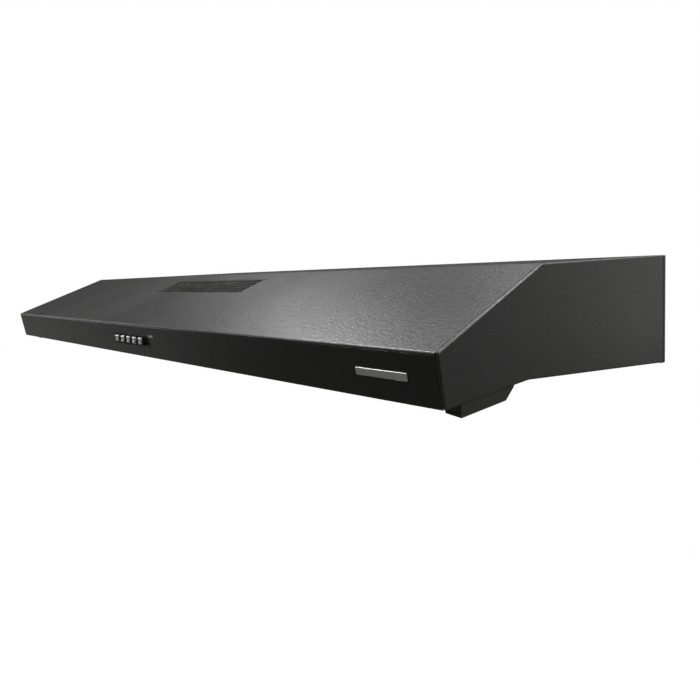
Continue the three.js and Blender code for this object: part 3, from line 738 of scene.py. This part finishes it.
def vent_plate():
    """A perforated plate set into the slope: staggered rows of round holes with raised collars."""
    columns = int((2 * VENT_HALF - 8) / HOLE_PITCH)
    rows = int((VENT_HIGH - VENT_LOW - 4) / HOLE_STEP)
    x0 = -columns * HOLE_PITCH / 2
    y0 = (VENT_LOW + VENT_HIGH - rows * HOLE_STEP) / 2
    # one cell: a rectangle round each hole, with points at its corners and between them
    corner = math.atan2(HOLE_STEP, HOLE_PITCH)
    half_turn = [0, corner / 2, corner, corner / 2 + math.pi / 4, math.pi / 2, math.pi * 0.75 - corner / 2,
                 math.pi - corner, math.pi - corner / 2]
    angles = half_turn + [a + math.pi for a in half_turn]
    points = len(angles)
    cell = [1 / max(abs(math.cos(a)) / (HOLE_PITCH / 2), abs(math.sin(a)) / (HOLE_STEP / 2)) for a in angles]
    rings = [(cell, PLATE_TOP), ([HOLE_RADIUS + COLLAR_WIDTH] * points, PLATE_TOP),
             ([HOLE_RADIUS] * points, PLATE_TOP + COLLAR_RISE), ([HOLE_RADIUS] * points, PLATE_UNDERSIDE),
             (cell, PLATE_UNDERSIDE)]
    cell_faces = ring_faces(len(rings), points, cap=False)
    verts, faces = [], []
    for j in range(rows):
        for i in range(columns):
            shift = HOLE_PITCH / 4 if j % 2 else -HOLE_PITCH / 4
            cx, cy = x0 + (i + 0.5) * HOLE_PITCH + shift, y0 + (j + 0.5) * HOLE_STEP
            base = len(verts)
            for reach, z in rings:
                verts += [(cx + r * math.cos(a), cy + r * math.sin(a), z) for r, a in zip(reach, angles)]
            faces += [tuple(base + v for v in face) for face in cell_faces]
    holes = raw_object("vent_holes", verts, faces, SLOPE)
    width, height = columns * HOLE_PITCH / 2 - HOLE_PITCH / 4, rows * HOLE_STEP / 2
    middle = (VENT_LOW + VENT_HIGH) / 2
    border = block("vent_border", (-VENT_HALF + GAP, VENT_LOW + GAP, -2.2),
                   (VENT_HALF - GAP, VENT_HIGH - GAP, -0.15), SLOPE)
    cut(border, block("border_tool", (-width, middle - height, -5), (width, middle + height, 5), SLOPE))
    bevel(border, 0.35, 2)
    finish_piece(joined("vent_plate", [holes, border]), "root", VENT_PAINT, ("vent_grille",))


vent_plate()
refined("vent_shutter", "shutter_plate", DARK, 0.2)
for word in ("lower", "upper"):
    refined(f"shutter_rail_{word}", f"vent_rail_{word}", ZINC, 0.2)

# ------------------------------------------------------------------ controls

refined("control_bezel", "bezel_tray", DARK, 0.5, 3)
refined("switch_block", "contact_block", WHITE, 0.5)

# down the key: place from the crease, half width, height over the fascia
KEY_STATIONS = ((16.0, 4.4, -1.0), (16.3, 4.8, 0.2), (16.9, 5.0, 0.9), (18.2, 5.0, 1.3), (19.4, 4.8, 1.35),
                (20.2, 4.2, 1.4), (21.0, 3.8, 1.7), (22.2, 3.7, 2.25), (23.3, 3.6, 2.5), (23.9, 3.4, 2.0),
                (24.1, 3.0, 0.6), (24.15, 2.8, -1.2))
KEY_FIRST, KEY_PITCH, KEY_BACK = -43.5, 16.0, -6.9


def key(name, index):
    """A plated key: a broad crowned head over a narrower tongue that stands out more, and a flange behind."""
    x = KEY_FIRST + KEY_PITCH * index
    verts = []
    for place, half, high in KEY_STATIONS:
        row = [(-half, KEY_BACK), (-half, high - 1.1), (-half + 0.12, high - 0.5), (-half + 0.5, high - 0.12),
               (-half * 0.5, high), (half * 0.5, high), (half - 0.5, high - 0.12), (half - 0.12, high - 0.5),
               (half, high - 1.1), (half, KEY_BACK)]
        verts += [(x + across, -place, n) for across, n in row]
    cap = raw_object(f"key_{name}", verts, ring_faces(len(KEY_STATIONS), len(row)), FASCIA)
    flange = block("flange", (x - 6.4, -25.4, -8.5), (x + 6.4, -14.6, KEY_BACK + 0.2), FASCIA)
    finish_piece(joined(f"key_{name}", [cap, flange]), f"key_{name}", CHROME,
                 (f"button_{name}",), 48)


for index, name in enumerate(BUTTONS):
    key(name, index)

eye = bevel(pill("indicator_window", 0, -8, 0.4), 0.35, 3)
finish_piece(eye, "root", FROSTED, ("indicator_lens",))

badge = block("plain_badge", (374.5, -22.5, 0.1), (422.5, -16.5, 1.0), FASCIA)
bevel(badge, 0.45, 3)
finish_piece(badge, "root", BADGE, ("badge_plate",))

# ------------------------------------------------------------------ rear sheet

REAR_SCREWS = [(side * x, WALL_Y, z)
               for side in (-1, 1) for x, z in ((430, -22), (430, -112), (160, -18), (160, -118))]
GROOVE_X, GROOVE_DEPTH, GROOVE_RADIUS = 215.0, 0.7, 3.0


def rear_sheet():
    """The CAD sheet with sunken screw seats and four pressed stiffening grooves."""
    sheet = clean_copy("rear_panel", "back_sheet", 0.0)
    tools = [dimple(place, "back") for place in REAR_SCREWS]
    lying = Matrix.Rotation(math.pi / 2, 4, "Y")
    for z in (-66, -96):
        for side in (-1, 1):
            middle = at(side * GROOVE_X, WALL_Y + GROOVE_RADIUS - GROOVE_DEPTH, z)
            spindle = [(0.2, -140), (GROOVE_RADIUS, -136), (GROOVE_RADIUS, 136), (0.2, 140)]
            tools.append(turned("groove", spindle, 16, middle @ lying))
    cut(sheet, *tools)
    cups = [dish(place, "back") for place in REAR_SCREWS]
    finish_piece(joined("back_sheet", [sheet, *cups]), "root", ZINC, ("rear_panel",))


rear_sheet()
screws("rear_screws", "back", [(x, y - SEAT_DEPTH, z) for x, y, z in REAR_SCREWS])


def underside(y):
    """The height of the side panels' lower edge at a place behind the knee."""
    return KNEE[1] + (y - KNEE[0]) * (BOTTOM_Z - KNEE[1]) / (WALL_Y - KNEE[0])


def filter_shelf():
    """The strip under the filters' rear edge: level at the wall, then rising with the hood's underside."""
    low, high = node_box("filter_rail")
    outline = [(146, underside(146)), (156.5, underside(156.5)), (157.5, low.z), (high.y, low.z),
               (high.y, low.z + 0.8), (157.2, low.z + 0.8),
               (156, underside(156) + 0.75), (146, underside(146) + 0.75)]
    strip = prism_x("filter_shelf", outline, -high.x, high.x)
    bevel(strip, 0.2, 2)
    finish_piece(strip, "root", ZINC, ("filter_rail",))


filter_shelf()

# ------------------------------------------------------------------ light channel

refined("light_channel", "lamp_channel", PAINT, 0.6, 3, 20)
CHANNEL_BOTTOM = node_box("light_channel")[0].z
screws("channel_screws", "down",
       [(side * x, -257, CHANNEL_BOTTOM) for side in (-1, 1) for x in (120, 190, 400)])


LENS_RIBS = 31


def lamp_cover(word):
    """A frosted tray cover with moulded ribs across it and a finger tab at its rear edge."""
    cover = clean_copy(f"lamp_lens_{word}", f"lamp_cover_{word}", 0.5, 3)
    low, high = node_box(f"lamp_lens_{word}")
    ribs = []
    for k in range(LENS_RIBS):
        x = low.x + 6 + k * (high.x - low.x - 12) / (LENS_RIBS - 1)
        rib = block("rib", (x - 1.2, low.y + 5, low.z - 0.5), (x + 1.2, high.y - 9, low.z + 0.6))
        ribs.append(bevel(rib, 0.45, 2))
    middle = (low.x + high.x) / 2
    tab = block("tab", (middle - 9, high.y - 7, low.z - 1.2), (middle + 9, high.y - 3, low.z + 0.4))
    bevel(tab, 0.7, 3)
    finish_piece(joined(f"lamp_cover_{word}", [cover, *ribs, tab]), f"lens_{word}", FROSTED,
                 (f"lamp_lens_{word}",))


LAMP_Y, LAMP_Z = -256.0, -82.0


def lamp(side, word):
    """A candle lamp lying along the channel: opal bulb, nickel cap with thread rings, solder tip."""
    turn = at(0, LAMP_Y, LAMP_Z) @ Matrix.Rotation(side * math.pi / 2, 4, "Y")
    glass = turned("glass", [(0.3, 315), (3.5, 315.6), (7, 318), (10, 323), (11.6, 330), (12, 338), (11.6, 348),
                             (10.2, 358), (8.2, 366), (6.9, 372), (6.6, 375)], 28, turn)
    thread = [(6.6, 374)]
    for k in range(5):
        z = 376 + 2.2 * k
        thread += [(6.5, z), (7.0, z + 0.55), (7.0, z + 1.1), (6.5, z + 1.65)]
    cap = turned("cap", [*thread, (6.3, 387.5), (3.2, 389), (2.4, 389.8), (0.4, 390)], 28, turn)
    glass.data.materials.append(OPAL)
    cap.data.materials.append(SCREW_METAL)
    finish_piece(joined(f"lamp_bulb_{word}", [glass, cap]), "root", None, (f"lamp_{word}",), 50)


FOOT_FLOOR = 2.6  # what lies this close to a foot's lowest point belongs to its floor
LEFT_FOOT_RISE, RIGHT_FOOT_RISE = 2.5, 1.6
TAB_INNER, TAB_OUTER, TAB_FOOT, TAB_SLANT = HALF - 17.2, HALF - 3.1, 2.0, 2.2


def foot_bracket(side, word):
    """The end piece of the channel, with a tab that laps behind the channel's front wall."""
    body = clean_copy(f"channel_foot_{word}", f"foot_bracket_{word}", 0.4)
    low, high = node_box(f"channel_foot_{word}")
    # the left foot is shallower, so the fascia hides it from the front; the right one rises a little inwards
    for vertex in body.data.vertices:
        if vertex.co.z < (low.z + FOOT_FLOOR) * MM:
            inward = (high.x - vertex.co.x / MM) / (high.x - low.x)
            vertex.co.z += (LEFT_FOOT_RISE if side < 0 else RIGHT_FOOT_RISE * inward) * MM
    inner, outer = sorted((side * TAB_INNER, side * TAB_OUTER))
    tab = block("tab", (inner, low.y + STEEL + 0.1, low.z + TAB_FOOT), (outer, low.y + 2.2, low.z + 5.6))
    # the tab's lower inner corner is cut back
    for vertex in tab.data.vertices:
        if vertex.co.z < (low.z + TAB_FOOT + 0.1) * MM and abs(vertex.co.x) < (TAB_INNER + 0.1) * MM:
            vertex.co.x += side * TAB_SLANT * MM
    finish_piece(joined(f"foot_bracket_{word}", [body, tab]), "root", SIDE_PAINT,
                 (f"channel_foot_{word}",))


for side, word in SIDES:
    foot_bracket(side, word)
    lamp_cover(word)
    refined(f"lamp_holder_{word}", f"holder_{word}", WHITE, 0.5)
    lamp(side, word)

# ------------------------------------------------------------------ grease filters

TILT = math.atan2(BOTTOM_Z - KNEE[1], WALL_Y - KNEE[0])
CASSETTE = at(0, KNEE[0], KNEE[1] + 1 / math.cos(TILT)) @ Matrix.Rotation(TILT, 4, "X")
CASSETTE_FRONT, CASSETTE_REAR = ((y - KNEE[0]) / math.cos(TILT) for y in (-207, 158))
CASSETTE_PITCH, MESH_HALF, RIVET_X = 298.0, 144.0, 140.5
MESH_FRONT = CASSETTE_FRONT + 34
STRAND_LONG, STRAND_SHORT, STRAND_WIDTH, STRAND_THICK = 11.0, 5.6, 0.9, 0.5
PACK_WAVES, WAVE_STEPS, PACK_SWING, PACK_THICK = 42, 6, 0.85, 0.7


def lattice(x0, x1, y0, y1, z):
    """Expanded metal: zigzag strands that touch their neighbours and leave diamond openings."""
    verts, faces = [], []
    columns = int((x1 - x0) / (STRAND_LONG / 2))
    rows = int((y1 - y0) / STRAND_SHORT)
    for j in range(rows):
        middle = y0 + (j + 0.5) * (y1 - y0) / rows
        for i in range(columns + 1):
            x = x0 + i * (x1 - x0) / columns
            up = 1 if (i + j) % 2 else -1
            y = middle + up * (STRAND_SHORT / 2 - STRAND_WIDTH * 0.3)
            base = len(verts)
            verts += [(x, y - STRAND_WIDTH / 2, z), (x, y, z + STRAND_THICK), (x, y + STRAND_WIDTH / 2, z)]
            if i:
                for a, b in ((0, 1), (1, 2), (2, 0)):
                    faces.append((base - 3 + a, base - 3 + b, base + b, base + a))
    return raw_object("lattice", verts, faces, CASSETTE)


def pack(x0, x1, y0, y1, z):
    """The wavy inner layers, as one corrugated sheet; the rim hides its open ends."""
    steps = PACK_WAVES * WAVE_STEPS
    top, bottom = [], []
    for i in range(steps + 1):
        x = x0 + i * (x1 - x0) / steps
        wave = PACK_SWING * math.sin(2 * math.pi * i / WAVE_STEPS)
        top.append((x, z + wave + PACK_THICK / 2))
        bottom.append((x, z + wave - PACK_THICK / 2))
    outline = [*top, *reversed(bottom)]
    verts = [(x, y, h) for y in (y0, y1) for x, h in outline]
    return raw_object("pack", verts, ring_faces(2, len(outline), cap=False), CASSETTE)


def filter_pieces(index, word):
    """One grease filter: rim with rivets, two layers of expanded metal round the pack, and its latch."""
    x = (index - 1) * CASSETTE_PITCH
    rim = clean_copy(f"filter_frame_{word}", "rim", 0.4)
    rivets = [turned("rivet", [(2.2, 0.3), (2.1, -0.2), (1.3, -0.55), (0.3, -0.7)], 14,
                     CASSETTE @ at(x + side * RIVET_X, y, 0))
              for side in (-1, 1) for y in (MESH_FRONT + 7, CASSETTE_REAR - 22)]
    finish_piece(joined(f"filter_rim_{word}", [rim, *rivets]), f"filter_{word}", RIM_METAL,
                 (f"filter_frame_{word}",))
    span = (x - MESH_HALF, x + MESH_HALF, MESH_FRONT + 3, CASSETTE_REAR - 3)
    layers = [lattice(*span, 2.2), lattice(*span, 6.2)]
    for layer in layers:
        layer.data.materials.append(STRAND_METAL)
    core = pack(*span, 4.6)
    core.data.materials.append(PACK)
    finish_piece(joined(f"mesh_layers_{word}", [*layers, core]), f"filter_{word}", None,
                 (f"filter_mesh_{word}",), 60)
    refined(f"filter_latch_{word}", f"latch_{word}", DARK, 0.3)


for index, word in enumerate(FILTER_NAMES):
    filter_pieces(index, word)

# ------------------------------------------------------------------ blowers and air path

GUARD_RADII = (16, 30, 44)
COVER_SCREW = 48.0  # from the blower's middle, along each axis
LAMINATIONS = (-20, -18.4, -16.8, -15.2, -13.6)


def guard_ring(radius, place, z):
    """A wire ring lying flat."""
    section = [(radius + math.cos(a), z + math.sin(a)) for a in (2 * math.pi * k / 8 for k in range(8))]
    return turned("guard", section, 48, place, cap=False)


def blower(side, word):
    """A scroll with its guarded cover, laminated motor, wheel and strapped capacitor."""
    x = side * BLOWER_X
    place = at(x, BLOWER_Y, 0)
    refined(f"blower_housing_{word}", f"scroll_{word}", GREY, 0.5)
    cover = clean_copy(f"blower_cover_{word}", "cover", 0.4)
    low, high = node_box(f"blower_cover_{word}")
    guard = [guard_ring(radius, place, (low.z + high.z) / 2) for radius in GUARD_RADII]
    finish_piece(joined(f"scroll_cover_{word}", [cover, *guard]), "root", GREY,
                 (f"blower_cover_{word}",))
    screws(f"cover_screws_{word}", "down",
           [(x + dx, BLOWER_Y + dy, low.z)
            for dx in (-COVER_SCREW, COVER_SCREW) for dy in (-COVER_SCREW, COVER_SCREW)])
    can = clean_copy(f"motor_{word}", "can", 1.0, 3)
    core = [turned("core", [(42.0, z), (43.0, z + 0.25), (43.0, z + 0.75), (42.0, z + 1.0)], 48, place,
                   cap=False) for z in LAMINATIONS]
    finish_piece(joined(f"motor_can_{word}", [can, *core]), "root", ZINC, (f"motor_{word}",))
    refined(f"impeller_{word}", f"fan_wheel_{word}", FAN, 0)
    low, high = node_box(f"capacitor_{word}")
    body = clean_copy(f"capacitor_{word}", "body", 1.2, 3)
    radius = (high.z - low.z) / 2
    band = [(radius + 0.05, -4), (radius + 0.5, -3.9), (radius + 0.5, 3.9), (radius + 0.05, 4)]
    lying = at(*((low + high) / 2)) @ Matrix.Rotation(math.pi / 2, 4, "Y")
    strap = turned("strap", band, 32, lying, cap=False)
    finish_piece(joined(f"run_capacitor_{word}", [body, strap]), "root", WHITE,
                 (f"capacitor_{word}",))


for side, word in SIDES:
    blower(side, word)
refined("outlet_ring", "duct_ring", DARK, 0.4, smooth=40)
for word in ("front", "rear"):
    refined(f"damper_flap_{word}", f"flap_{word}", GREY, 0.2)
refined("outlet_plenum", "air_box", GREY, 0.5)
refined("recirc_duct", "air_duct", GREY, 0.5)

# ------------------------------------------------------------------ wiring

refined("terminal_box", "mains_box", WHITE, 0.6)
refined("terminal_lid", "mains_lid", WHITE, 0.6)
LID_LOW, LID_HIGH = node_box("terminal_lid")
screws("lid_screws", "down", [(x, y, LID_LOW.z) for x in (LID_LOW.x + 7, LID_HIGH.x - 7)
                              for y in (LID_LOW.y + 7, LID_HIGH.y - 7)])
refined("cable_gland", "inlet_gland", DARK, 0.4)
refined("wire_loom", "loom", RUBBER, 0, smooth=60)
bpy.data.objects.remove(SCREW)

# ------------------------------------------------------------------ stage

FLOOR_HALF, FLOOR_Z = 12.0, -1.35  # metres
# brightness of the room by height, from straight down (-1) to straight up (1)
ROOM_SHADES = ((-0.35, 0.142), (-0.1, 0.178), (0.06, 0.178), (0.2, 0.085), (0.4, 0.048))
# direction of the room's dark side, the cosines between which it dims, and the share of light left there
DARK_SIDE, DARK_FROM, DARK_FULL, DARK_SHARE = (-0.8, 0.6, 0), 0.55, 0.85, 0.1
MIDDLE = (0.15, -0.15, -0.03)
# name, place and target in metres, size in metres, power in watts
LIGHTS = (
    ("key_softbox", (-0.32, -0.1, 0.8), MIDDLE, (0.2, 0.2), 9),
    ("rear_softbox", (0.0, 0.6, 1.2), MIDDLE, (0.5, 0.5), 4.5),
    ("top_softbox", (0.0, -0.1, 2.0), MIDDLE, (1.5, 1.5), 20),
    ("right_softbox", (2.0, 0.3, 0.6), MIDDLE, (1.0, 1.0), 4.8),
    ("right_rear_softbox", (1.2, 1.2, 0.9), MIDDLE, (0.8, 0.8), 2.6),
    ("low_rear_strip", (0.9, 1.7, 0.1), MIDDLE, (1.0, 1.0), 0.6),
    ("left_strip", (-2.5, -1.0, -0.5), MIDDLE, (1.2, 1.2), 0.45),
    ("left_softbox", (-2.5, -1.2, 0.45), MIDDLE, (0.6, 0.6), 3.3),
    ("fold_light_right", (-0.45, -0.8, 0.8), (0.3, -0.3, -0.05), (0.3, 0.3), 5),
    ("fold_light_middle", (-1.2, -0.6, 0.42), (0, -0.3, -0.05), (0.2, 0.2), 0.9),
    ("fold_light_left", (-1.95, -0.6, 0.32), (-0.3, -0.3, -0.05), (0.2, 0.2), 0.35),
    ("edge_light", (0.92, 0.53, 0.91), (0.45, -0.2, 0), (0.25, 0.25), 9),
    ("under_light", (0.0, -0.05, -1.15), (0, -0.05, 0), (0.8, 0.25), 5),
    ("top_edge_light", (0.5, 1.4, 0.6), (0.45, 0, 0), (0.5, 0.3), 1.1),
)


def make_floor():
    """A pale floor far below, which the hood's surfaces don't mirror."""
    mesh = bpy.data.meshes.new("floor")
    corners = [(x * FLOOR_HALF, y * FLOOR_HALF, FLOOR_Z) for x, y in ((-1, -1), (1, -1), (1, 1), (-1, 1))]
    mesh.from_pydata(corners, [], [(0, 1, 2, 3)])
    floor = bpy.data.objects.new("floor", mesh)
    scene.collection.objects.link(floor)
    mesh.materials.append(material_nodes("floor_pale").set(
        Base_Color=(0.05, 0.05, 0.05), Roughness=0.9, Emission_Color=(1, 1, 1), Emission_Strength=1.0))
    floor.visible_glossy = False
    floor.visible_diffuse = False


def make_room():
    """A surround that is white to look at, and a dimmer grey one for light and reflections."""
    world = bpy.data.worlds.new("studio")
    scene.world = world
    n = Nodes(world)
    room = n.tree.nodes["Background"]
    way = n.add("ShaderNodeTexCoord").outputs["Generated"]
    split = n.add("ShaderNodeSeparateXYZ")
    n.link(way, split.inputs["Vector"])
    height = n.ramp(split.outputs["Z"], -1, 1, 0, 1)
    stops = (((level + 1) / 2, (shade, shade * 1.01, shade * 0.96)) for level, shade in ROOM_SHADES)
    n.link(n.colours(height, *stops), room.inputs["Color"])
    # the room is darker to the left and behind, where the left end of the slope gets its reflection from
    aim = n.add("ShaderNodeVectorMath", operation="DOT_PRODUCT")
    n.link(way, aim.inputs[0])
    aim.inputs[1].default_value = DARK_SIDE
    n.link(n.ramp(aim.outputs["Value"], DARK_FROM, DARK_FULL, 1, DARK_SHARE), room.inputs["Strength"])
    mix = n.add("ShaderNodeMixShader")
    n.link(n.add("ShaderNodeLightPath").outputs["Is Camera Ray"], mix.inputs["Fac"])
    n.link(room.outputs["Background"], mix.inputs[1])
    n.link(n.add("ShaderNodeBackground", Color=(1, 1, 1, 1)).outputs["Background"], mix.inputs[2])
    n.link(mix.outputs["Shader"], n.tree.nodes["World Output"].inputs["Surface"])


def area_light(name, place, target, size, power):
    """A soft rectangular light that faces its target."""
    data = bpy.data.lights.new(name, "AREA")
    data.shape = "RECTANGLE"
    data.size, data.size_y = size
    data.energy = power
    light = bpy.data.objects.new(name, data)
    light.location = place
    light.rotation_mode = "QUATERNION"
    light.rotation_quaternion = (Vector(target) - Vector(place)).to_track_quat("-Z", "Y")
    scene.collection.objects.link(light)


make_floor()
make_room()
for light in LIGHTS:
    area_light(*light)
scene.view_settings.view_transform = "Standard"
